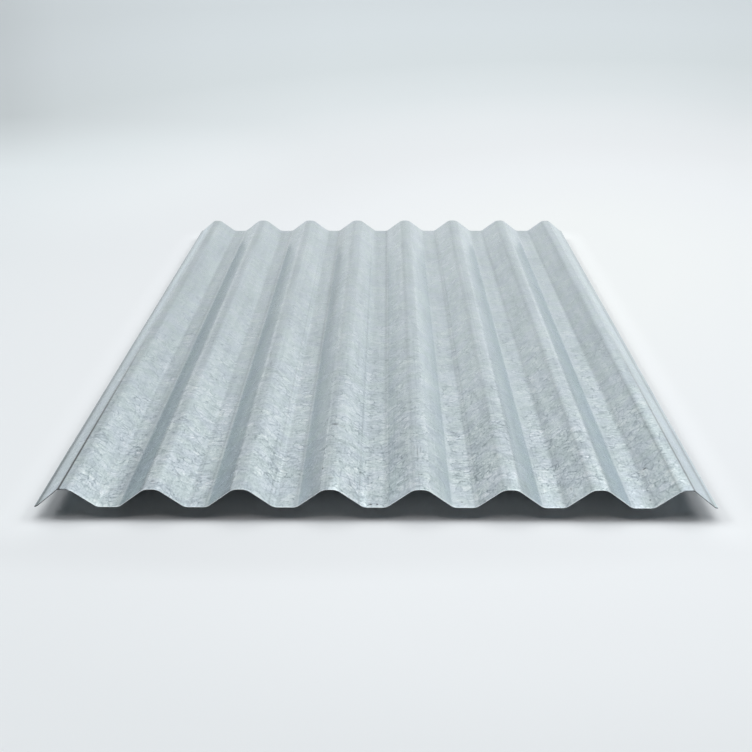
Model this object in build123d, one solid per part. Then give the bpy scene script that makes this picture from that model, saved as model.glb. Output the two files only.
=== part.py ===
from build123d import *
import os

os.makedirs("parts", exist_ok=True)

# Corrugated galvanized steel sheet, roll-formed in one piece. Millimetres.
# X runs across the corrugations, Y along them, Z up. The origin is on the
# underside of the middle trough, half way along the sheet.

# Sheet stock
sheet_length = 914.4
sheet_thickness = 0.5
# From the underside of the troughs to the top of the crests
overall_depth = 18.0

# Corrugations, as drawn on the sheet's underside. The flats are measured
# between the sharp corners that the bends round off.
crests_each_side = 4
pitch = 76.2
trough_flat = 19.2
crest_flat = 11.4
trough_bend_radius = 9.8
crest_bend_radius = 11.8

# The outermost crest on each side is lower, tighter and narrower than the
# rest, and its outer flank ends in a short lip back at the trough's level.
edge_crest_drop = 0.6
edge_crest_flat = 10.4
edge_crest_bend_radius = 4.2
edge_flank_run = 20.5
edge_lip = 2.0
edge_lip_bend_radius = 4.3

trough_level = 0
crest_level = overall_depth - sheet_thickness
edge_crest_level = crest_level - edge_crest_drop

# Corners of the right half, from the middle trough out to the edge
half_corners = [(trough_flat / 2, trough_level)]
half_radii = [trough_bend_radius]
for crest in range(crests_each_side - 1):
    crest_middle = (crest + 0.5) * pitch
    trough_middle = (crest + 1) * pitch
    half_corners.append((crest_middle - crest_flat / 2, crest_level))
    half_corners.append((crest_middle + crest_flat / 2, crest_level))
    half_corners.append((trough_middle - trough_flat / 2, trough_level))
    half_corners.append((trough_middle + trough_flat / 2, trough_level))
    half_radii += [crest_bend_radius, crest_bend_radius]
    half_radii += [trough_bend_radius, trough_bend_radius]

# The edge corrugation: inner corner, outer corner, foot of the outer flank
edge_crest_inner_x = (crests_each_side - 0.5) * pitch - crest_flat / 2
edge_crest_outer_x = edge_crest_inner_x + edge_crest_flat
edge_foot_x = edge_crest_outer_x + edge_flank_run
half_corners.append((edge_crest_inner_x, edge_crest_level))
half_corners.append((edge_crest_outer_x, edge_crest_level))
half_corners.append((edge_foot_x, trough_level))
half_radii += [crest_bend_radius, edge_crest_bend_radius, edge_lip_bend_radius]

# The left half is the mirror image of the right half
edge = (edge_foot_x + edge_lip, trough_level)
right_corners = half_corners + [edge]
left_corners = [(-x, z) for x, z in reversed(right_corners)]
bend_radii = half_radii[::-1] + half_radii

# The top follows the underside at one thickness all along. Each bend keeps
# one centre for both faces, so the wall gets no thinner there.
underside = FilletPolyline(*left_corners, *right_corners, radius=bend_radii)
outline = offset(underside, amount=sheet_thickness, side=Side.LEFT)
section = Plane.XZ * make_face(outline)

# The ends are sheared square across the corrugations
sheet = extrude(section, amount=sheet_length / 2, both=True)
sheet.label = "corrugated_sheet"
export_step(sheet, "parts/corrugated_sheet.step")
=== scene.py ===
import math

import bpy
import mathutils
import numpy as np
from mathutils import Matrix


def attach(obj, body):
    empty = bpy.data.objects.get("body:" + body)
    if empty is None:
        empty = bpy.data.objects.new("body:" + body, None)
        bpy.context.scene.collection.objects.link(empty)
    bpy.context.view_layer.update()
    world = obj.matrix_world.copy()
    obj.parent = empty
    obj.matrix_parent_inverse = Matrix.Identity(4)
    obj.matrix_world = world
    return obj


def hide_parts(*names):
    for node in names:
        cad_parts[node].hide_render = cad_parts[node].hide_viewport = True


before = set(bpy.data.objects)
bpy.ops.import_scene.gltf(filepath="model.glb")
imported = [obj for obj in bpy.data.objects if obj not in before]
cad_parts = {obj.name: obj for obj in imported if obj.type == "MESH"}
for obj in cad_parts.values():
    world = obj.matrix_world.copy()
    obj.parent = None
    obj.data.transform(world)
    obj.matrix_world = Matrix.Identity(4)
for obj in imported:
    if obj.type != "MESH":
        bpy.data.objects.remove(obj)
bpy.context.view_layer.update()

# The sheet. One strip of steel, dipped in molten zinc as a coil and then rolled cold into
# eight corrugations. Both long edges end down at the level of the troughs, and the two
# ends are sheared square. Nothing is fixed to it: it lies on its seven troughs.
mm = 0.001
sheet_length = 914.4 * mm
sheet_thickness = 0.5 * mm
overall_depth = 18.0 * mm
crests_each_side = 4
pitch = 76.2 * mm
trough_flat = 19.2 * mm
crest_flat = 11.4 * mm
trough_bend_radius = 9.8 * mm
crest_bend_radius = 11.8 * mm
edge_crest_drop = 0.6 * mm
edge_crest_flat = 10.4 * mm
edge_crest_bend_radius = 4.2 * mm
edge_flank_run = 20.5 * mm
edge_lip = 2.0 * mm
edge_lip_bend_radius = 4.3 * mm

crest_level = overall_depth - sheet_thickness
edge_crest_level = crest_level - edge_crest_drop


def half_section():
    """Corners and bend radii of the underside, from the middle trough to the right edge."""
    corners = [(trough_flat / 2, 0.0)]
    radii = [trough_bend_radius]
    for crest in range(crests_each_side - 1):
        crest_middle = (crest + 0.5) * pitch
        trough_middle = (crest + 1) * pitch
        corners.append((crest_middle - crest_flat / 2, crest_level))
        corners.append((crest_middle + crest_flat / 2, crest_level))
        corners.append((trough_middle - trough_flat / 2, 0.0))
        corners.append((trough_middle + trough_flat / 2, 0.0))
        radii += [crest_bend_radius] * 2 + [trough_bend_radius] * 2
    inner_x = (crests_each_side - 0.5) * pitch - crest_flat / 2
    outer_x = inner_x + edge_crest_flat
    foot_x = outer_x + edge_flank_run
    corners += [(inner_x, edge_crest_level), (outer_x, edge_crest_level), (foot_x, 0.0)]
    radii += [crest_bend_radius, edge_crest_bend_radius, edge_lip_bend_radius]
    return corners, radii, (foot_x + edge_lip, 0.0)


def bent_line(corners, radii, longest_run, bend_steps):
    """Points along straight runs joined by bends, with the normal at each."""
    corners = [np.array(c) for c in corners]
    points, normals = [], []
    start = corners[0]
    for i in range(1, len(corners)):
        along = corners[i] - corners[i - 1]
        along /= np.linalg.norm(along)
        up = np.array([-along[1], along[0]])
        last = i == len(corners) - 1
        if last:
            stop = corners[i]
        else:
            onward = corners[i + 1] - corners[i]
            onward /= np.linalg.norm(onward)
            turn = math.atan2(along[0] * onward[1] - along[1] * onward[0], along @ onward)
            cut_back = radii[i - 1] * math.tan(abs(turn) / 2)
            stop = corners[i] - along * cut_back
        pieces = max(2, math.ceil(np.linalg.norm(stop - start) / longest_run))
        for k in range(pieces):
            points.append(start + (stop - start) * k / pieces)
            normals.append(up)
        if last:
            points.append(stop)
            normals.append(up)
            break
        side = math.copysign(1.0, turn)
        centre = stop + up * side * radii[i - 1]
        for k in range(bend_steps):
            cosine, sine = math.cos(turn * k / bend_steps), math.sin(turn * k / bend_steps)
            normal = np.array([up[0] * cosine - up[1] * sine, up[0] * sine + up[1] * cosine])
            points.append(centre - normal * side * radii[i - 1])
            normals.append(normal)
        start = corners[i] + onward * cut_back
    return np.array(points), np.array(normals)


right, right_radii, right_edge = half_section()
corners = [(-x, z) for x, z in reversed(right + [right_edge])] + right + [right_edge]
line, line_up = bent_line(
    corners, right_radii[::-1] + right_radii, longest_run=4.5 * mm, bend_steps=6
)
run = np.concatenate([[0.0], np.cumsum(np.linalg.norm(np.diff(line, axis=0), axis=1))])
across = run - run[-1] / 2
columns = len(line)

# The guillotine rounds the upper side of the two cut ends over by two tenths of a
# millimetre, which is the bright line along them.
ends = np.array([0.0, 0.25, 0.6]) * mm
rolled_over = np.array([0.20, 0.06, 0.0]) * mm
half_length = sheet_length / 2
first_inner_row = 6 * mm
inner_row_count = 135
inner_rows = np.linspace(
    first_inner_row - half_length, half_length - first_inner_row, inner_row_count
)
along_y = np.concatenate([ends - half_length, inner_rows, half_length - ends[::-1]])
rows = len(along_y)
turned_down = np.zeros(rows)
turned_down[:len(ends)] = rolled_over
turned_down[-len(ends):] = rolled_over[::-1]


def slow_wave(seed, x_waves, y_waves, count):
    """A smooth field from 0 to 1 over the sheet, from waves of random length in metres."""
    rng = np.random.default_rng(seed)
    field = np.zeros((rows, columns))
    for _ in range(count):
        x_step = rng.uniform(*x_waves)
        y_step = rng.uniform(*y_waves)
        phase = rng.uniform(0, math.tau)
        field += np.sin(
            math.tau * (across[None, :] / x_step + along_y[:, None] / y_step) + phase
        )
    return (field - field.min()) / (field.max() - field.min())


# The rolls leave the sheet a few tenths of a millimetre out of true: crests dip and
# troughs lift a little along their length, always inside the flat sheet's own height.
crest_dip = 0.30 * mm
trough_lift = 0.22 * mm
dip = slow_wave(seed=3, x_waves=(0.11, 0.4), y_waves=(0.07, 0.45), count=14)
lift = slow_wave(seed=8, x_waves=(0.09, 0.35), y_waves=(0.06, 0.35), count=14)
share = line[None, :, 1] / crest_level
shift = -crest_dip * dip * share + trough_lift * lift * (1 - share)

# They also spread the middle corrugations some 2 % wider than the outer ones.
middle_spread = 0.018
half_width = line[-1, 0]
line_x = line[:, 0] * (1 + middle_spread * (1 - (line[:, 0] / half_width) ** 2))

under = np.zeros((rows, columns, 3))
under[:, :, 0] = line_x[None, :]
under[:, :, 1] = along_y[:, None]
under[:, :, 2] = line[None, :, 1] + shift
top = under.copy()
top[:, :, 0] += line_up[None, :, 0] * (sheet_thickness - turned_down[:, None])
top[:, :, 2] += line_up[None, :, 1] * (sheet_thickness - turned_down[:, None])

vertices = np.concatenate([top.reshape(-1, 3), under.reshape(-1, 3)])
of_top = np.arange(rows * columns).reshape(rows, columns)
of_under = of_top + rows * columns


def quads(a, b, c, d):
    """One face for each set of four corners."""
    return np.stack([a, b, c, d], axis=-1).reshape(-1, 4)


top_faces = quads(of_top[:-1, :-1], of_top[:-1, 1:], of_top[1:, 1:], of_top[1:, :-1])
under_faces = quads(
    of_under[:-1, :-1], of_under[1:, :-1], of_under[1:, 1:], of_under[:-1, 1:]
)
near_faces = quads(of_under[0, :-1], of_under[0, 1:], of_top[0, 1:], of_top[0, :-1])
far_faces = quads(of_under[-1, :-1], of_top[-1, :-1], of_top[-1, 1:], of_under[-1, 1:])
left_faces = quads(of_under[:-1, 0], of_top[:-1, 0], of_top[1:, 0], of_under[1:, 0])
right_faces = quads(
    of_under[:-1, -1], of_under[1:, -1], of_top[1:, -1], of_top[:-1, -1]
)
groups = [top_faces, under_faces, near_faces, far_faces, left_faces, right_faces]
faces = np.concatenate(groups)

mesh = bpy.data.meshes.new("corrugated_sheet_skin")
mesh.from_pydata(vertices.tolist(), [], faces.tolist())
sheet = bpy.data.objects.new("corrugated_sheet_skin", mesh)
bpy.context.collection.objects.link(sheet)
skin_faces = len(top_faces) + len(under_faces)
mesh.polygons.foreach_set("use_smooth", [i < skin_faces for i in range(len(faces))])
mesh.polygons.foreach_set("material_index", [int(i >= skin_faces) for i in range(len(faces))])
sharpest_bend = math.radians(50)
mesh.set_sharp_from_angle(angle=sharpest_bend)

# Flat coordinates of the unrolled strip in metres, for the patterns in the zinc. The
# underside lies three metres further on, so that it doesn't repeat the top.
underside_step = 3.0
flat_across = np.tile(across, 2 * rows)
flat_along = np.repeat(along_y, columns)
flat_along = np.concatenate([flat_along, flat_along + underside_step])
flat = np.stack([flat_across, flat_along], axis=1)
corner_vertex = faces.reshape(-1)
flat_map = mesh.uv_layers.new(name="flat_strip")
flat_map.data.foreach_set("uv", flat[corner_vertex].reshape(-1))

# The same strip laid out for textures: top on the left, underside on the right, and the
# four cut edges in thin bands below them.
left_half = (0.003, 0.497)
right_half = (0.503, 0.997)
above_bands = (0.02, 0.997)
end_band = (0.002, 0.006)
side_band = (0.010, 0.014)


def laid_out(face_group, u_span, v_span, u_values, v_values):
    """The place of each corner of these faces in one part of the layout."""
    spot = np.zeros((2 * rows * columns, 2))
    spot[:, 0] = u_span[0] + (u_span[1] - u_span[0]) * u_values
    spot[:, 1] = v_span[0] + (v_span[1] - v_span[0]) * v_values
    return spot[face_group.reshape(-1)]


u_all = np.tile((across - across[0]) / (across[-1] - across[0]), 2 * rows)
v_all = np.tile(np.repeat((along_y + half_length) / sheet_length, columns), 2)
on_top = np.repeat([1.0, 0.0], rows * columns)
spots = np.concatenate([
    laid_out(top_faces, left_half, above_bands, u_all, v_all),
    laid_out(under_faces, right_half, above_bands, u_all, v_all),
    laid_out(near_faces, left_half, end_band, u_all, on_top),
    laid_out(far_faces, right_half, end_band, u_all, on_top),
    laid_out(left_faces, left_half, side_band, v_all, on_top),
    laid_out(right_faces, right_half, side_band, v_all, on_top),
])
texture_map = mesh.uv_layers.new(name="OFBake")
texture_map.data.foreach_set("uv", spots.reshape(-1))
mesh.uv_layers.active = texture_map


def linear(hex_colour):
    """An sRGB hex colour as linear RGBA."""
    channels = [int(hex_colour[i:i + 2], 16) / 255 for i in (1, 3, 5)]
    return [c / 12.92 if c <= 0.04045 else ((c + 0.055) / 1.055) ** 2.4 for c in channels] + [1.0]


def add(tree, kind, feeds=None, **settings):
    """Adds a node. feeds gives each input a value, or the output that drives it."""
    made = tree.nodes.new("ShaderNode" + kind)
    for name, value in settings.items():
        setattr(made, name, value)
    for name, value in (feeds or {}).items():
        if isinstance(value, bpy.types.NodeSocket):
            tree.links.new(value, made.inputs[name])
        else:
            made.inputs[name].default_value = value
    return made


# Hot-dip zinc, dulled by a little oxide: pale blue-grey metal with a soft sheen. Under it
# the zinc froze in flat crystals, which show as mottling with fine dark seams.
dull_zinc = "#8A969C"
plain_zinc = "#C5D0D4"
bright_zinc = "#F0F5F7"
blue_cast = "#FAFBFF"
green_cast = "#FAFDFC"
zinc = bpy.data.materials.new("hot_dip_zinc")
zinc.use_nodes = True
tree = zinc.node_tree
tree.nodes.clear()
unrolled = add(tree, "UVMap", uv_map="flat_strip").outputs["UV"]
strip = add(tree, "VectorMath", {0: unrolled, "Scale": 1 / mm}, operation="SCALE").outputs[0]
place = add(tree, "SeparateXYZ", {"Vector": strip}).outputs
# The underside lies three metres further on in the pattern: this is the place along the sheet
# for both sides.
half_step = underside_step / 2 / mm
along = add(
    tree, "Math", {0: place["Y"], 1: half_step, 2: -half_step}, operation="WRAP"
).outputs[0]

# The freezing front wandered by a few millimetres over 18 mm, so nothing in the coat is
# straight.
furthest_apart = 9.0
wander = add(tree, "TexNoise", {"Vector": strip, "Scale": 1 / 18, "Detail": 2.0}).outputs["Color"]
wander = add(
    tree,
    "VectorMath",
    {
        0: wander,
        1: (furthest_apart, furthest_apart, 0.0),
        2: (-furthest_apart / 2, -furthest_apart / 2, 0.0),
    },
    operation="MULTIPLY_ADD",
).outputs[0]
bent = add(tree, "VectorMath", {0: strip, 1: wander}, operation="ADD").outputs[0]

# Mottling from 15 mm clouds down to 1 mm grains.
mottle = add(
    tree,
    "TexNoise",
    {"Vector": bent, "Scale": 1 / 15, "Detail": 4.0, "Roughness": 0.62},
).outputs["Fac"]
# Crystals 9 mm across, each its own grey, with a seam where two of them met. The real seam is
# as thin as a hair: it is drawn 2 mm wide, and only in patches, so that it shows.
crystal_size = 9
crystals = add(
    tree, "TexVoronoi", {"Vector": bent, "Scale": 1 / crystal_size}
).outputs["Color"]
crystal_grey = add(tree, "SeparateColor", {"Color": crystals}).outputs[0]
seams = add(
    tree, "TexVoronoi", {"Vector": bent, "Scale": 1 / crystal_size}, feature="DISTANCE_TO_EDGE"
).outputs["Distance"]
seams = add(
    tree, "MapRange", {"Value": seams, "From Max": 0.10, "To Min": 1.0, "To Max": 0.0}
).outputs["Result"]
seam_patches = add(
    tree, "TexNoise", {"Vector": strip, "Scale": 1 / 15, "Detail": 2.0}
).outputs["Fac"]
seam_patches = add(
    tree, "MapRange", {"Value": seam_patches, "From Min": 0.47, "From Max": 0.57}
).outputs["Result"]
seams = add(tree, "Math", {0: seams, 1: seam_patches}, operation="MULTIPLY").outputs[0]
# Ripples across the strip, 6 mm long and 3 mm apart, from the air knife that wiped it.
knife = add(
    tree, "Mapping", {"Vector": bent, "Location": (3.1, 3.1, 0.0), "Scale": (1 / 6, 1 / 3, 1.0)}
).outputs["Vector"]
waves = add(
    tree, "TexNoise", {"Vector": knife, "Scale": 1.0, "Detail": 1.5, "Roughness": 0.5}
).outputs["Fac"]
# Dark grains of oxide, twice as long as wide, because they were drawn out in rolling. Real ones
# are finer: they are drawn 2 mm wide so that they show.
grain_place = add(
    tree, "Mapping", {"Vector": strip, "Scale": (1 / 2.0, 1 / 4.0, 1.0)}
).outputs["Vector"]
grains = add(
    tree, "TexNoise", {"Vector": grain_place, "Scale": 1.0, "Detail": 3.0, "Roughness": 0.7}
).outputs["Fac"]
# Specks of dross, a millimetre or two across and some 12 mm apart.
dross = add(tree, "TexVoronoi", {"Vector": bent, "Scale": 1 / 12}).outputs["Distance"]
dross = add(
    tree,
    "MapRange",
    {"Value": dross, "From Min": 0.05, "From Max": 0.10, "To Min": 1.0, "To Max": 0.0},
).outputs["Result"]
# Clouding from the dip, 80 mm across.
clouds = add(
    tree, "TexNoise", {"Vector": strip, "Scale": 1 / 80, "Detail": 2.0}
).outputs["Fac"]
# Smears that the rolls drew along the strip, 10 mm wide and 120 mm long.
smears = add(
    tree, "Mapping", {"Vector": strip, "Scale": (1 / 10, 1 / 120, 1.0)}
).outputs["Vector"]
smears = add(tree, "TexNoise", {"Vector": smears, "Scale": 1.0, "Detail": 2.0}).outputs["Fac"]
# Hair lines that the rolls drew along the sheet, in broken runs of up to 260 mm. Each is drawn
# 2 mm wide so that it shows.
drawn = add(
    tree, "Mapping", {"Vector": strip, "Scale": (1 / 2.2, 1 / 260, 1.0)}
).outputs["Vector"]
hair_lines = add(tree, "TexNoise", {"Vector": drawn, "Scale": 1.0, "Detail": 1.0}).outputs["Fac"]
hair_lines = add(
    tree, "MapRange", {"Value": hair_lines, "From Min": 0.60, "From Max": 0.70}
).outputs["Result"]

# The crystals stand out at the near end and die away towards the far end.
strip_end = half_length / mm
to_near_end = add(
    tree,
    "MapRange",
    {"Value": along, "From Min": strip_end, "From Max": -strip_end},
).outputs["Result"]
strength = add(tree, "Math", {0: to_near_end, 1: 2.1}, operation="POWER").outputs[0]
# The ripples are shallower close to the near end.
ripple_depth = add(
    tree,
    "MapRange",
    {"Value": to_near_end, "From Min": 0.86, "From Max": 0.98, "To Min": 1.0, "To Max": 0.6},
).outputs["Result"]
waves = add(tree, "Math", {0: waves, 1: 0.5}, operation="SUBTRACT").outputs[0]
waves = add(
    tree, "Math", {0: waves, 1: ripple_depth, 2: 0.5}, operation="MULTIPLY_ADD"
).outputs[0]
# Oxide, dross and hair lines die away with the crystals, each at its own rate.
grain_strength = add(
    tree, "Math", {0: strength, 1: 1.15, 2: 0.15}, operation="MULTIPLY_ADD"
).outputs[0]
dross = add(tree, "Math", {0: dross, 1: strength}, operation="MULTIPLY").outputs[0]
hair_lines = add(tree, "Math", {0: hair_lines, 1: to_near_end}, operation="MULTIPLY").outputs[0]
grains = add(tree, "Math", {0: grains, 1: 0.5}, operation="SUBTRACT").outputs[0]
grains = add(tree, "Math", {0: grains, 1: grain_strength}, operation="MULTIPLY").outputs[0]
strength = add(
    tree, "Math", {0: strength, 1: 1.15, 2: 0.30}, operation="MULTIPLY_ADD"
).outputs[0]
# Some patches, 38 mm across, froze more coarsely than others.
patches = add(
    tree, "TexNoise", {"Vector": strip, "Scale": 1 / 38, "Detail": 2.0}
).outputs["Fac"]
patches = add(
    tree,
    "MapRange",
    {"Value": patches, "From Min": 0.35, "From Max": 0.65, "To Min": 0.7, "To Max": 1.25},
).outputs["Result"]
strength = add(tree, "Math", {0: strength, 1: patches}, operation="MULTIPLY").outputs[0]
# The last few centimetres at the near end are calmer again.
calm = add(
    tree,
    "MapRange",
    {"Value": to_near_end, "From Min": 0.95, "From Max": 1.0, "To Min": 1.0, "To Max": 0.76},
).outputs["Result"]
strength = add(tree, "Math", {0: strength, 1: calm}, operation="MULTIPLY").outputs[0]
# The rolls press hardest on the flanks that face outwards, so those are the smoothest. One
# corrugation takes 88 mm of the flat strip, and such a flank lies 66 mm out in each.
corrugation_run = 88.0
outward_flank_at = 66.0
from_middle = add(tree, "Math", {0: place["X"]}, operation="ABSOLUTE").outputs[0]
outward = add(
    tree, "Math", {0: from_middle, 1: corrugation_run}, operation="MODULO"
).outputs[0]
outward = add(tree, "Math", {0: outward, 1: outward_flank_at}, operation="SUBTRACT").outputs[0]
outward = add(tree, "Math", {0: outward}, operation="ABSOLUTE").outputs[0]
outward = add(
    tree,
    "MapRange",
    {"Value": outward, "From Min": 10.0, "From Max": 14.0, "To Min": 0.45, "To Max": 1.0},
).outputs["Result"]
strength = add(tree, "Math", {0: strength, 1: outward}, operation="MULTIPLY").outputs[0]
# The troughs, which they press least, keep the most, except at the near end.
trough_gain = add(
    tree,
    "MapRange",
    {"Value": to_near_end, "From Min": 1.0, "From Max": 0.7, "To Min": 1.0, "To Max": 1.3},
).outputs["Result"]
in_trough = add(
    tree, "Math", {0: from_middle, 1: corrugation_run / 2}, operation="PINGPONG"
).outputs[0]
in_trough = add(
    tree,
    "MapRange",
    {"Value": in_trough, "From Min": 7.0, "From Max": 14.0, "To Min": trough_gain, "To Max": 1.0},
).outputs["Result"]
strength = add(tree, "Math", {0: strength, 1: in_trough}, operation="MULTIPLY").outputs[0]
# The two outermost flanks, more than 306 mm out, were ironed smoother still by the last rolls.
ironed = add(
    tree,
    "MapRange",
    {"Value": from_middle, "From Min": 306.0, "From Max": 311.0, "To Min": 1.0, "To Max": 0.3},
).outputs["Result"]
strength = add(tree, "Math", {0: strength, 1: ironed}, operation="MULTIPLY").outputs[0]

# Each layer's share of the tone, about the middle of its own range.
texture = add(tree, "Math", {0: mottle, 1: 0.56, 2: -0.28}, operation="MULTIPLY_ADD").outputs[0]
for layer, share, middle in (
    (crystal_grey, 0.16, 0.5), (waves, 0.47, 0.5), (grains, 0.72, 0.0), (seams, -0.26, 0.0),
):
    moved = add(
        tree, "Math", {0: layer, 1: share, 2: -share * middle}, operation="MULTIPLY_ADD"
    ).outputs[0]
    texture = add(tree, "Math", {0: texture, 1: moved}, operation="ADD").outputs[0]
tone = add(tree, "Math", {0: texture, 1: strength, 2: 0.5}, operation="MULTIPLY_ADD").outputs[0]
for layer, share, middle in (
    (clouds, 0.22, 0.5), (smears, 0.30, 0.5), (dross, -0.34, 0.0), (hair_lines, -0.07, 0.0),
):
    moved = add(
        tree, "Math", {0: layer, 1: share, 2: -share * middle}, operation="MULTIPLY_ADD"
    ).outputs[0]
    tone = add(tree, "Math", {0: tone, 1: moved}, operation="ADD").outputs[0]

# Lines along the sheet where the rolls rubbed the coat or bent it sharply, with painted light
# and shade: the wide entries are painted shade on flanks and painted highlights, the two paler
# outer flanks are a painted reflection, and the dark lines at the bends are partly painted shade.
# Each has its place across the strip and half width in millimetres, and how much darker or
# paler. The first list's lines run the whole length and are fainter far off, the second's die
# out half way along and the third's grow towards the far end.
long_marks = [
    (-335.6, 2.6, -0.28), (-322.0, 15.0, 0.05), (-301.0, 13.0, -0.05), (-254.4, 2.8, -0.11),
    (-166.2, 2.8, -0.10), (-101.7, 1.6, -0.12), (-96.5, 1.8, 0.04), (-77.6, 2.4, -0.09),
    (-15.1, 1.8, -0.13), (12.4, 1.8, -0.10), (73.9, 1.8, -0.05), (100.3, 1.8, -0.10),
    (129.7, 1.2, -0.08), (322.0, 14.0, 0.16), (333.0, 4.0, -0.20),
]
near_marks = [
    (-333.5, 8.0, -0.26), (-308.3, 1.7, -0.95), (-297.5, 1.6, -0.10), (-273.5, 4.0, -0.09),
    (-264.5, 8.0, 0.17), (-245.0, 14.0, -0.20), (-232.5, 3.0, -0.09), (-188.4, 1.4, -0.07),
    (-175.5, 8.0, 0.12), (-157.0, 13.0, -0.06), (-144.5, 2.6, -0.08), (-88.0, 8.0, 0.09),
    (-44.8, 1.4, -0.05), (42.7, 1.4, -0.07), (140.5, 4.0, -0.09), (161.9, 1.8, -0.06),
    (188.4, 1.6, -0.07), (198.0, 12.0, 0.07), (210.4, 1.4, -0.06), (228.0, 4.0, -0.11),
    (240.0, 12.0, 0.03), (249.6, 1.8, -0.05), (273.9, 1.6, -0.09), (288.0, 10.0, 0.07),
    (296.6, 1.6, -0.16), (303.0, 6.0, 0.11), (309.3, 1.8, -0.60), (331.5, 5.0, -0.14),
]
far_marks = [
    (-322.0, 15.0, 0.24), (-246.0, 14.0, -0.09), (-160.0, 14.0, -0.09), (-71.0, 14.0, -0.15),
    (8.5, 3.0, -0.09),
]
fading = add(
    tree, "Mapping", {"Vector": strip, "Scale": (1 / 40, 1 / 90, 1.0)}
).outputs["Vector"]
fading = add(tree, "TexNoise", {"Vector": fading, "Scale": 1.0, "Detail": 2.0}).outputs["Fac"]
fading = add(
    tree,
    "MapRange",
    {"Value": fading, "From Min": 0.35, "From Max": 0.60, "To Min": 0.8, "To Max": 1.1},
).outputs["Result"]
long_fading = add(
    tree, "MapRange", {"Value": to_near_end, "From Min": 0.05, "From Max": 0.45, "To Min": 0.4}
).outputs["Result"]
fading = add(tree, "Math", {0: fading, 1: long_fading}, operation="MULTIPLY").outputs[0]
near_fading = add(
    tree, "MapRange", {"Value": to_near_end, "From Min": 0.55, "From Max": 0.92}
).outputs["Result"]
far_fading = add(
    tree, "MapRange", {"Value": to_near_end, "From Min": 0.9, "From Max": 0.35}
).outputs["Result"]
# Wear and painted light and shade, which scale the zinc's colour.
wear_and_painted_light = 1.0
for marks, share in ((long_marks, fading), (near_marks, near_fading), (far_marks, far_fading)):
    for line_place, reach, depth in marks:
        away = add(tree, "Math", {0: place["X"], 1: line_place}, operation="SUBTRACT").outputs[0]
        away = add(tree, "Math", {0: away}, operation="ABSOLUTE").outputs[0]
        mark = add(
            tree,
            "MapRange",
            {"Value": away, "From Min": 0.0, "From Max": reach, "To Min": depth, "To Max": 0.0},
            interpolation_type="SMOOTHSTEP",
        ).outputs["Result"]
        wear_and_painted_light = add(
            tree, "Math", {0: mark, 1: share, 2: wear_and_painted_light}, operation="MULTIPLY_ADD"
        ).outputs[0]

# Knocks, scratches and drips, as the photograph shows them: place across and along and reach
# across and along in millimetres, and how much darker or paler.
knocks = [
    (-275.1, 101.0, 4.5, 9.0, -0.10), (-270.5, 97.0, 1.6, 10.0, -0.20),
    (-264.4, -427.0, 4.5, 3.6, -0.24), (-257.3, -364.0, 2.6, 2.4, -0.36),
    (-218.0, -443.0, 3.2, 1.8, -0.30), (-218.0, -411.0, 3.6, 1.8, -0.26),
    (-198.5, -417.0, 4.0, 4.5, -0.20), (-166.5, -425.0, 2.2, 2.2, -0.30),
    (-135.2, -140.0, 1.3, 16.0, -0.22), (-131.7, -170.0, 1.2, 14.0, -0.22),
    (-51.7, -415.0, 1.3, 2.8, -0.60), (-44.3, -326.0, 4.5, 3.5, -0.50),
    (-43.3, -437.0, 4.2, 3.6, -0.26), (-37.4, -329.0, 5.5, 2.6, -0.24),
    (-14.3, -400.0, 1.6, 2.4, -0.36), (-6.9, -403.0, 2.4, 1.4, -0.32),
    (-3.7, -452.4, 1.8, 1.8, -0.80), (1.8, -452.4, 1.5, 1.6, -0.80),
    (6.9, -455.0, 1.1, 1.3, -0.60), (40.2, -377.0, 0.8, 8.0, -0.20),
    (40.4, -150.0, 7.0, 2.6, -0.16), (42.9, -385.0, 0.9, 16.0, -0.32),
    (44.3, -430.0, 3.0, 1.3, -0.34), (45.8, -380.0, 0.8, 11.0, -0.26),
    (84.7, -448.0, 1.4, 1.6, -0.45), (181.5, -429.0, 2.6, 4.0, -0.20),
    (193.0, -434.0, 1.5, 4.0, -0.34), (194.5, -448.0, 1.4, 4.0, -0.32),
    (201.5, -443.0, 3.6, 3.0, 0.22), (270.0, -444.0, 1.4, 1.8, -0.60),
    (270.0, -395.0, 2.2, 1.4, -0.30), (277.1, -392.3, 3.0, 1.9, -0.65),
    (283.8, -442.0, 2.0, 1.6, -0.26), (288.3, -430.0, 2.4, 2.0, -0.30),
]
# Painted glints close to the near end, and broad painted shades, given in the same way.
painted_glints_and_shades = [
    (-290.0, 170.0, 20.0, 170.0, -0.07), (-285.0, -60.0, 22.0, 240.0, -0.06),
    (-237.0, 90.0, 8.0, 260.0, -0.05), (-200.0, 50.0, 20.0, 300.0, -0.06),
    (-149.0, 80.0, 8.0, 260.0, -0.08), (-115.0, 70.0, 17.0, 280.0, -0.06),
    (-68.0, -460.0, 14.0, 60.0, 0.12), (-64.0, 60.0, 8.0, 200.0, -0.07),
    (-40.0, -455.0, 6.0, 40.0, 0.18), (-30.0, 70.0, 20.0, 260.0, -0.05),
    (-24.0, -440.0, 7.0, 40.0, -0.10), (-10.0, -455.0, 6.0, 40.0, 0.20),
    (22.0, -450.0, 17.0, 90.0, 0.20), (135.0, -450.0, 6.0, 45.0, 0.14),
    (146.0, -445.0, 5.0, 40.0, -0.10), (172.0, -450.0, 7.0, 60.0, 0.12),
    (184.0, -445.0, 5.0, 40.0, -0.10), (222.0, -445.0, 5.0, 60.0, 0.14),
    (257.0, -440.0, 6.0, 70.0, 0.12), (268.0, -445.0, 5.0, 50.0, -0.10),
]
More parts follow.
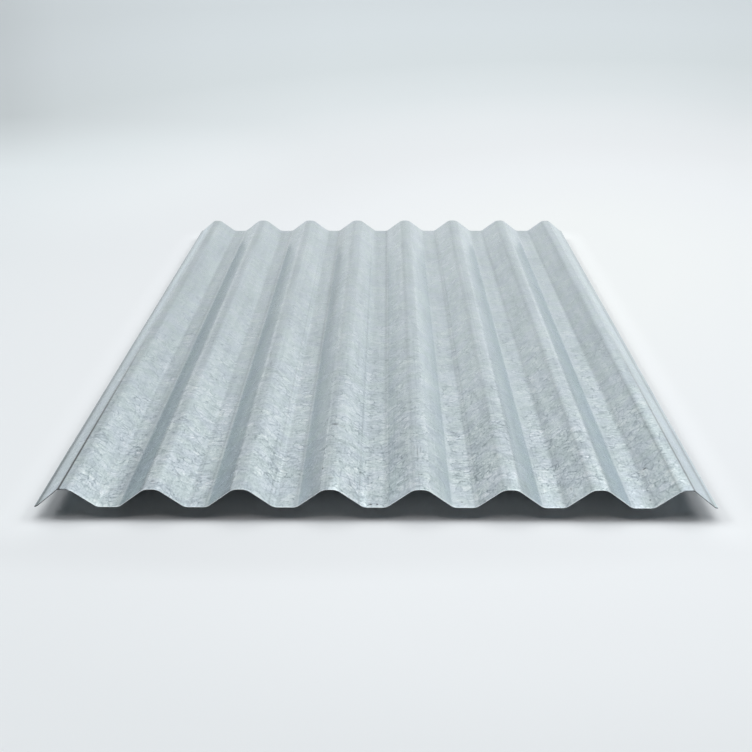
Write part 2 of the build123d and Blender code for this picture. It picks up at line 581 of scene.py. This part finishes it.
for mark_across, mark_along, reach_across, reach_along, depth in knocks + painted_glints_and_shades:
    away = add(
        tree,
        "VectorMath",
        {
            0: strip,
            1: (1 / reach_across, 1 / reach_along, 0.0),
            2: (-mark_across / reach_across, -mark_along / reach_along, 0.0),
        },
        operation="MULTIPLY_ADD",
    ).outputs[0]
    away = add(tree, "VectorMath", {0: away}, operation="LENGTH").outputs["Value"]
    spot_mark = add(
        tree,
        "MapRange",
        {"Value": away, "From Min": 0.2, "From Max": 1.0, "To Min": depth, "To Max": 0.0},
        interpolation_type="SMOOTHSTEP",
    ).outputs["Result"]
    wear_and_painted_light = add(tree, "Math", {0: wear_and_painted_light, 1: spot_mark}, operation="ADD").outputs[0]

# The last millimetre before the cut ends carries a painted highlight, and painted shade on the
# two outer crests and flanks, which begin about 300 mm out.
edge_shade_from, edge_shade_at = 298.0, 301.0
at_end = add(tree, "Math", {0: along}, operation="ABSOLUTE").outputs[0]
at_end = add(
    tree,
    "MapRange",
    {"Value": at_end, "From Min": strip_end - 1.4, "From Max": strip_end - 0.6},
).outputs["Result"]
end_level = add(
    tree,
    "MapRange",
    {
        "Value": from_middle,
        "From Min": edge_shade_from,
        "From Max": edge_shade_at,
        "To Min": 0.14,
        "To Max": -0.60,
    },
).outputs["Result"]
wear_and_painted_light = add(tree, "Math", {0: at_end, 1: end_level, 2: wear_and_painted_light}, operation="MULTIPLY_ADD").outputs[0]
darkest_wear = 0.12
wear_and_painted_light = add(tree, "Math", {0: wear_and_painted_light, 1: darkest_wear}, operation="MAXIMUM").outputs[0]

grey = add(tree, "ValToRGB", {"Fac": tone})
grey.color_ramp.elements[0].position = 0.0
grey.color_ramp.elements[0].color = linear(dull_zinc)
grey.color_ramp.elements[1].position = 1.0
grey.color_ramp.elements[1].color = linear(bright_zinc)
grey.color_ramp.elements.new(0.5).color = linear(plain_zinc)
# Thin oxide tints the zinc in patches some 26 mm across, bluish here and greenish there.
tint = add(
    tree, "TexNoise", {"Vector": bent, "Scale": 1 / 26, "Detail": 2.0, "Roughness": 0.6}
).outputs["Fac"]
tint = add(tree, "MapRange", {"Value": tint, "From Min": 0.4, "From Max": 0.6}).outputs["Result"]
cast = add(
    tree, "Mix", {0: tint, 6: linear(green_cast), 7: linear(blue_cast)}, data_type="RGBA"
).outputs[2]
zinc_colour = add(
    tree,
    "Mix",
    {0: 1.0, 6: grey.outputs["Color"], 7: cast},
    data_type="RGBA",
    blend_type="MULTIPLY",
).outputs[2]
zinc_colour = add(
    tree, "VectorMath", {0: zinc_colour, "Scale": wear_and_painted_light}, operation="SCALE"
).outputs[0]

# Bright crystals are smoother than dull ones, and the ripples and crystals stand a fifth of a
# millimetre proud.
sheen = add(
    tree, "Math", {0: texture, 1: -0.25, 2: 0.29}, operation="MULTIPLY_ADD"
).outputs[0]
relief_height = add(tree, "Math", {0: waves, 1: 1.5}, operation="MULTIPLY").outputs[0]
for layer, share in ((mottle, 0.6), (seams, -0.10), (crystal_grey, 0.06)):
    moved = add(tree, "Math", {0: layer, 1: share}, operation="MULTIPLY").outputs[0]
    relief_height = add(tree, "Math", {0: relief_height, 1: moved}, operation="ADD").outputs[0]
relief_height = add(
    tree, "Math", {0: relief_height, 1: strength}, operation="MULTIPLY"
).outputs[0]
relief_height = add(
    tree, "Math", {0: relief_height, 1: to_near_end}, operation="MULTIPLY"
).outputs[0]
relief = add(
    tree, "Bump", {"Height": relief_height, "Strength": 1.0, "Distance": 0.23 * mm}
).outputs["Normal"]
zinc_surface = add(
    tree,
    "BsdfPrincipled",
    {"Base Color": zinc_colour, "Metallic": 1.0, "Roughness": sheen, "Normal": relief},
)
add(tree, "OutputMaterial", {"Surface": zinc_surface.outputs["BSDF"]})

# The sheared edge: a painted highlight makes a bright line along the cut. On the two outer
# crests and flanks the edge is painted nearly black, as painted shade.
edge_highlight_dim = "#D5DDE0"
edge_highlight_bright = "#FBFDFE"
edge_shade_dark = "#14191B"
edge_shade_light = "#30383B"
shear = bpy.data.materials.new("sheared_steel_edge")
shear.use_nodes = True
tree = shear.node_tree
tree.nodes.clear()
unrolled = add(tree, "UVMap", uv_map="flat_strip").outputs["UV"]
strip = add(tree, "VectorMath", {0: unrolled, "Scale": 1 / mm}, operation="SCALE").outputs[0]
teeth = add(
    tree, "TexNoise", {"Vector": strip, "Scale": 1 / 2.0, "Detail": 4.0, "Roughness": 0.6}
).outputs["Fac"]
edge_highlight = add(tree, "ValToRGB", {"Fac": teeth})
edge_highlight.color_ramp.elements[0].position = 0.3
edge_highlight.color_ramp.elements[0].color = linear(edge_highlight_dim)
edge_highlight.color_ramp.elements[1].position = 0.7
edge_highlight.color_ramp.elements[1].color = linear(edge_highlight_bright)
edge_shade = add(tree, "ValToRGB", {"Fac": teeth})
edge_shade.color_ramp.elements[0].position = 0.3
edge_shade.color_ramp.elements[0].color = linear(edge_shade_dark)
edge_shade.color_ramp.elements[1].position = 0.7
edge_shade.color_ramp.elements[1].color = linear(edge_shade_light)
from_middle = add(tree, "SeparateXYZ", {"Vector": strip}).outputs["X"]
from_middle = add(tree, "Math", {0: from_middle}, operation="ABSOLUTE").outputs[0]
outer_flank = add(
    tree, "MapRange", {"Value": from_middle, "From Min": edge_shade_from, "From Max": edge_shade_at}
).outputs["Result"]
edge_colour = add(
    tree,
    "Mix",
    {0: outer_flank, 6: edge_highlight.outputs["Color"], 7: edge_shade.outputs["Color"]},
    data_type="RGBA",
).outputs[2]
torn = add(tree, "Bump", {"Height": teeth, "Strength": 1.0, "Distance": 0.05 * mm})
steel_surface = add(
    tree,
    "BsdfPrincipled",
    {
        "Base Color": edge_colour,
        "Metallic": 1.0,
        "Roughness": 0.45,
        "Normal": torn.outputs["Normal"],
    },
)
add(tree, "OutputMaterial", {"Surface": steel_surface.outputs["BSDF"]})

mesh.materials.append(zinc)
mesh.materials.append(shear)
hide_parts("corrugated_sheet")
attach(sheet, "root")

# The studio floor: a pale matt sweep that runs far past the sheet. As in the photograph
# the sheet is held a little clear of it, on supports that don't show.
floor_reach = 30.0
clear_of_floor = 12.0 * mm
floor_mesh = bpy.data.meshes.new("studio_floor")
floor_mesh.from_pydata(
    [
        (-floor_reach, -floor_reach, -clear_of_floor),
        (floor_reach, -floor_reach, -clear_of_floor),
        (floor_reach, floor_reach, -clear_of_floor),
        (-floor_reach, floor_reach, -clear_of_floor),
    ],
    [],
    [(0, 1, 2, 3)],
)
floor = bpy.data.objects.new("studio_floor", floor_mesh)
bpy.context.collection.objects.link(floor)
paper = bpy.data.materials.new("matt_white_paper")
paper.use_nodes = True
tree = paper.node_tree
tree.nodes.clear()
# A painted pool of light: the paper is brightest in a long pool to the right of the middle,
# and painted shade makes it greyer further off.
pool_x = 0.226
pool_y = 0.334
pool_slant = 0.17
pool_narrowing = 0.647
pool_reach = 7.0
floor_spot = add(tree, "TexCoord").outputs["Object"]
spot = add(tree, "SeparateXYZ", {"Vector": floor_spot}).outputs
pool_across = add(
    tree, "Math", {0: spot["Y"], 1: -pool_slant, 2: -pool_x}, operation="MULTIPLY_ADD"
).outputs[0]
pool_across = add(tree, "Math", {0: pool_across, 1: spot["X"]}, operation="ADD").outputs[0]
pool_across = add(
    tree, "Math", {0: pool_across, 1: pool_narrowing}, operation="DIVIDE"
).outputs[0]
pool_spot = add(tree, "CombineXYZ", {"X": pool_across, "Y": spot["Y"]}).outputs["Vector"]
from_pool = add(
    tree, "VectorMath", {0: pool_spot, 1: (0.0, pool_y, 0.0)}, operation="DISTANCE"
).outputs["Value"]
from_pool = add(tree, "MapRange", {"Value": from_pool, "From Max": pool_reach}).outputs["Result"]
painted_pool = add(tree, "ValToRGB", {"Fac": from_pool})
painted_pool_colours = {
    0.25: "#F1F5F6", 0.65: "#EDF1F4", 0.95: "#E8ECEF", 1.3: "#E4E9EC", 1.85: "#DBE2E5",
    2.7: "#D3DBDE", 4.1: "#D3DBDF", 6.5: "#CFD7DB",
}
for i, (metres, shade) in enumerate(painted_pool_colours.items()):
    at = metres / pool_reach
    elements = painted_pool.color_ramp.elements
    stop = elements[i] if i < 2 else elements.new(at)
    stop.position = at
    stop.color = linear(shade)
# Two fainter painted pools of light lie in front of the sheet and to the left of it. A painted
# shade lies close to its near end, and a painted light under it. Each has its place and reach in
# metres, and how much brighter or darker it is.
painted_pools = [
    (0.14, -0.59, 0.42, 0.20, 0.035), (-0.56, 1.00, 0.50, 0.70, 0.050),
    (-0.08, -0.50, 0.42, 0.06, -0.045), (0.05, -0.438, 0.26, 0.034, 0.21),
]
painted_light_level = 1.0
for side_x, side_y, reach_x, reach_y, gain in painted_pools:
    away = add(
        tree,
        "VectorMath",
        {
            0: floor_spot,
            1: (1 / reach_x, 1 / reach_y, 0.0),
            2: (-side_x / reach_x, -side_y / reach_y, 0.0),
        },
        operation="MULTIPLY_ADD",
    ).outputs[0]
    away = add(tree, "VectorMath", {0: away}, operation="LENGTH").outputs["Value"]
    gained = add(
        tree,
        "MapRange",
        {"Value": away, "From Min": 0.3, "From Max": 1.0, "To Min": gain, "To Max": 0.0},
        interpolation_type="SMOOTHSTEP",
    ).outputs["Result"]
    painted_light_level = add(tree, "Math", {0: gained, 1: painted_light_level}, operation="ADD").outputs[0]
# Painted light on the paper along both long edges of the sheet lightens its shadow there.
glow_x = 0.302
glow_reach = 0.038
for side, gain in ((1.0, 0.085), (-1.0, 0.060)):
    beside = add(tree, "Math", {0: spot["X"], 1: side * glow_x}, operation="SUBTRACT").outputs[0]
    beside = add(tree, "Math", {0: beside}, operation="ABSOLUTE").outputs[0]
    painted_glow = add(
        tree,
        "MapRange",
        {"Value": beside, "From Min": 0.0, "From Max": glow_reach, "To Min": gain, "To Max": 0.0},
        interpolation_type="SMOOTHSTEP",
    ).outputs["Result"]
    along_side = add(tree, "Math", {0: spot["Y"]}, operation="ABSOLUTE").outputs[0]
    along_side = add(
        tree, "MapRange", {"Value": along_side, "From Min": 0.51, "From Max": 0.46}
    ).outputs["Result"]
    painted_light_level = add(
        tree, "Math", {0: painted_glow, 1: along_side, 2: painted_light_level}, operation="MULTIPLY_ADD"
    ).outputs[0]
# In front of the sheet the painted pool ends in a soft painted shade.
painted_front_shade = add(
    tree,
    "MapRange",
    {"Value": spot["Y"], "From Min": -0.76, "From Max": -0.56, "To Min": 0.99, "To Max": 1.03},
).outputs["Result"]
# Far behind the sheet a painted shade makes the sweep greyer towards the left. The
# shades fan out from a point 1.27 m in front of the sheet's middle: each has its slope from
# there and its level.
fan_from = 1.27
fan_half = 0.36
painted_left_shades = {
    -0.34: 0.79, -0.29: 0.89, -0.23: 0.94, -0.16: 0.985, -0.05: 1.02, 0.10: 1.02, 0.24: 1.0,
    0.34: 0.96,
}
far_spot = add(tree, "Math", {0: spot["Y"], 1: fan_from}, operation="ADD").outputs[0]
far_left = add(tree, "Math", {0: spot["X"], 1: far_spot}, operation="DIVIDE").outputs[0]
far_left = add(
    tree, "MapRange", {"Value": far_left, "From Min": -fan_half, "From Max": fan_half}
).outputs["Result"]
left_shade = add(tree, "ValToRGB", {"Fac": far_left})
for i, (slope, level) in enumerate(painted_left_shades.items()):
    at = (slope + fan_half) / (2 * fan_half)
    elements = left_shade.color_ramp.elements
    stop = elements[i] if i < 2 else elements.new(at)
    stop.position = at
    stop.color = (level, level, level, 1.0)
how_far = add(
    tree, "MapRange", {"Value": spot["Y"], "From Min": 1.0, "From Max": 1.7}
).outputs["Result"]
painted_far_shade = add(
    tree,
    "Mix",
    {0: how_far, 6: (1.0, 1.0, 1.0, 1.0), 7: left_shade.outputs["Color"]},
    data_type="RGBA",
).outputs[2]
paper_colour = add(
    tree, "VectorMath", {0: painted_pool.outputs["Color"], 1: painted_far_shade}, operation="MULTIPLY"
).outputs[0]
paper_colour = add(
    tree, "VectorMath", {0: paper_colour, "Scale": painted_front_shade}, operation="SCALE"
).outputs[0]
paper_colour = add(
    tree, "VectorMath", {0: paper_colour, "Scale": painted_light_level}, operation="SCALE"
).outputs[0]
# Under the sheet the paper is painted a darker, warmer grey: a painted shade, which keeps the
# blue of the zinc out of the shadow.
under_x = add(tree, "Math", {0: spot["X"]}, operation="ABSOLUTE").outputs[0]
under_x = add(
    tree, "MapRange", {"Value": under_x, "From Min": 0.29, "From Max": 0.26}
).outputs["Result"]
under_y = add(tree, "Math", {0: spot["Y"]}, operation="ABSOLUTE").outputs[0]
under_y = add(
    tree, "MapRange", {"Value": under_y, "From Min": 0.460, "From Max": 0.446}
).outputs["Result"]
painted_shade_under_sheet = add(tree, "Math", {0: under_x, 1: under_y}, operation="MULTIPLY").outputs[0]
painted_shade_grey = add(
    tree, "VectorMath", {0: paper_colour, 1: (0.94, 0.87, 0.84)}, operation="MULTIPLY"
).outputs[0]
paper_colour = add(
    tree, "Mix", {0: painted_shade_under_sheet, 6: paper_colour, 7: painted_shade_grey}, data_type="RGBA"
).outputs[2]
paper_surface = add(tree, "BsdfPrincipled", {"Base Color": paper_colour, "Roughness": 0.9})
add(tree, "OutputMaterial", {"Surface": paper_surface.outputs["BSDF"]})
floor_mesh.materials.append(paper)

# The studio's light: a wide soft lamp overhead and a narrower one on each side light the
# floor. The metal mirrors a pale tent, brighter on the right, with a dark gap low on the left.
# Each lamp has its lean along and across and its spread in degrees, and its power.
lamps = {
    "overhead_lamp": (-10.0, 0.0, 66.0, 1.85),
    "left_lamp": (-8.0, -50.0, 22.0, 0.94),
    "right_lamp": (-8.0, 50.0, 22.0, 0.88),
}
for lamp_name, (lean_along, lean_across, spread, power) in lamps.items():
    lamp_data = bpy.data.lights.new(lamp_name, "SUN")
    lamp_data.angle = math.radians(spread)
    lamp_data.energy = power
    lamp = bpy.data.objects.new(lamp_name, lamp_data)
    lamp.rotation_euler = (math.radians(lean_along), math.radians(lean_across), 0.0)
    lamp.visible_glossy = False
    bpy.context.collection.objects.link(lamp)

world = bpy.data.worlds.new("light_tent")
bpy.context.scene.world = world
world.use_nodes = True
tree = world.node_tree
tree.nodes.clear()
direction = add(tree, "TexCoord").outputs["Generated"]
toward = add(tree, "SeparateXYZ", {"Vector": direction}).outputs
bearing = add(tree, "Math", {0: toward["X"], 1: toward["Y"]}, operation="ARCTAN2").outputs[0]
bearing = add(
    tree, "MapRange", {"Value": bearing, "From Min": -math.pi, "From Max": math.pi}
).outputs["Result"]
rise = add(tree, "Math", {0: toward["Z"]}, operation="ARCSINE").outputs[0]

# Brightness of the tent at four heights in degrees, by bearing clockwise from straight ahead.
tent_levels = {
    5: {
        -180: 1.1, -100: 0.81, -70: 0.36, -50: 0.16, -38: 0.16, -28: 0.66, -18: 0.89, -5: 0.95,
        8: 0.75, 20: 1.06, 32: 0.88, 60: 0.82, 180: 1.1,
    },
    20: {
        -180: 0.85, -100: 0.81, -60: 0.25, -44: 0.32, -37: 0.44, -29: 0.90, -18: 0.60, -8: 0.55,
        6: 0.80, 17: 0.76, 31: 1.18, 40: 1.16, 60: 0.90, 180: 0.85,
    },
    35: {
        -180: 0.85, -100: 0.82, -60: 0.72, -40: 0.91, -18: 0.78, -5: 1.0, 4: 0.98, 16: 1.32,
        22: 1.32, 30: 1.0, 37: 0.89, 60: 0.85, 180: 0.85,
    },
    60: {-180: 1.0, -100: 0.76, -70: 0.68, -40: 0.78, 0: 1.17, 60: 1.37, 120: 1.2, 180: 1.0},
}
tent_level = None
height_below = None
for height, levels in tent_levels.items():
    ring = add(tree, "ValToRGB", {"Fac": bearing})
    for i, (degrees, level) in enumerate(levels.items()):
        position = (degrees + 180) / 360
        stop = ring.color_ramp.elements[i] if i < 2 else ring.color_ramp.elements.new(position)
        stop.position = position
        stop.color = (level, level, level, 1.0)
    if tent_level is None:
        tent_level = ring.outputs["Color"]
    else:
        share = add(
            tree,
            "MapRange",
            {
                "Value": rise,
                "From Min": math.radians(height_below),
                "From Max": math.radians(height),
            },
        ).outputs["Result"]
        tent_level = add(
            tree, "Mix", {0: share, 6: tent_level, 7: ring.outputs["Color"]}, data_type="RGBA"
        ).outputs[2]
    height_below = height
tent_colour = add(
    tree, "VectorMath", {0: tent_level, 1: (1.06, 1.07, 1.07)}, operation="MULTIPLY"
).outputs[0]
tent = add(tree, "Background", {"Color": tent_colour, "Strength": 1.0})
room = add(tree, "Background", {"Color": linear("#E6E6E4"), "Strength": 0.03})
backdrop = add(tree, "Background", {"Color": linear("#C8D1D5"), "Strength": 1.0})
ray = add(tree, "LightPath").outputs
# The metal's own mirror image is the tent. Light that reaches the floor by way of the metal
# comes from the room.
from_metal = add(
    tree, "Math", {0: ray["Diffuse Depth"], 1: 0.5}, operation="LESS_THAN"
).outputs[0]
mirrored = add(
    tree, "Math", {0: ray["Is Glossy Ray"], 1: from_metal}, operation="MULTIPLY"
).outputs[0]
straight = add(
    tree, "Math", {0: ray["Is Camera Ray"], 1: ray["Is Transmission Ray"]}, operation="MAXIMUM"
).outputs[0]
lit = add(
    tree,
    "MixShader",
    {0: mirrored, 1: room.outputs["Background"], 2: tent.outputs["Background"]},
)
seen = add(
    tree,
    "MixShader",
    {0: straight, 1: lit.outputs["Shader"], 2: backdrop.outputs["Background"]},
)
add(tree, "OutputWorld", {"Surface": seen.outputs["Shader"]})

# The camera stands low in front of the near end and looks along the corrugations. Its angles
# are in radians.
sensor_width = 36.0
frame_pixels = 752
focal_pixels = 1084.05
camera_place = (10.259 * mm, -1274.149 * mm, 462.041 * mm)
camera_down = 0.39371
camera_left = 0.011165
camera_roll = -0.002743
ahead = np.array([
    -math.sin(camera_left) * math.cos(camera_down),
    math.cos(camera_left) * math.cos(camera_down),
    -math.sin(camera_down),
])
level_right = np.array([math.cos(camera_left), math.sin(camera_left), 0.0])
level_up = np.cross(level_right, ahead)
cosine, sine = math.cos(camera_roll), math.sin(camera_roll)
right_axis = level_right * cosine + level_up * sine
up_axis = -level_right * sine + level_up * cosine
camera_data = bpy.data.cameras.new("camera")
camera_data.sensor_width = sensor_width
camera_data.lens = sensor_width * focal_pixels / frame_pixels
camera = bpy.data.objects.new("camera", camera_data)
bpy.context.collection.objects.link(camera)
camera.matrix_world = mathutils.Matrix((
    (right_axis[0], up_axis[0], -ahead[0], camera_place[0]),
    (right_axis[1], up_axis[1], -ahead[1], camera_place[1]),
    (right_axis[2], up_axis[2], -ahead[2], camera_place[2]),
    (0, 0, 0, 1),
))
bpy.context.scene.camera = camera
bpy.context.scene.view_settings.view_transform = "Standard"
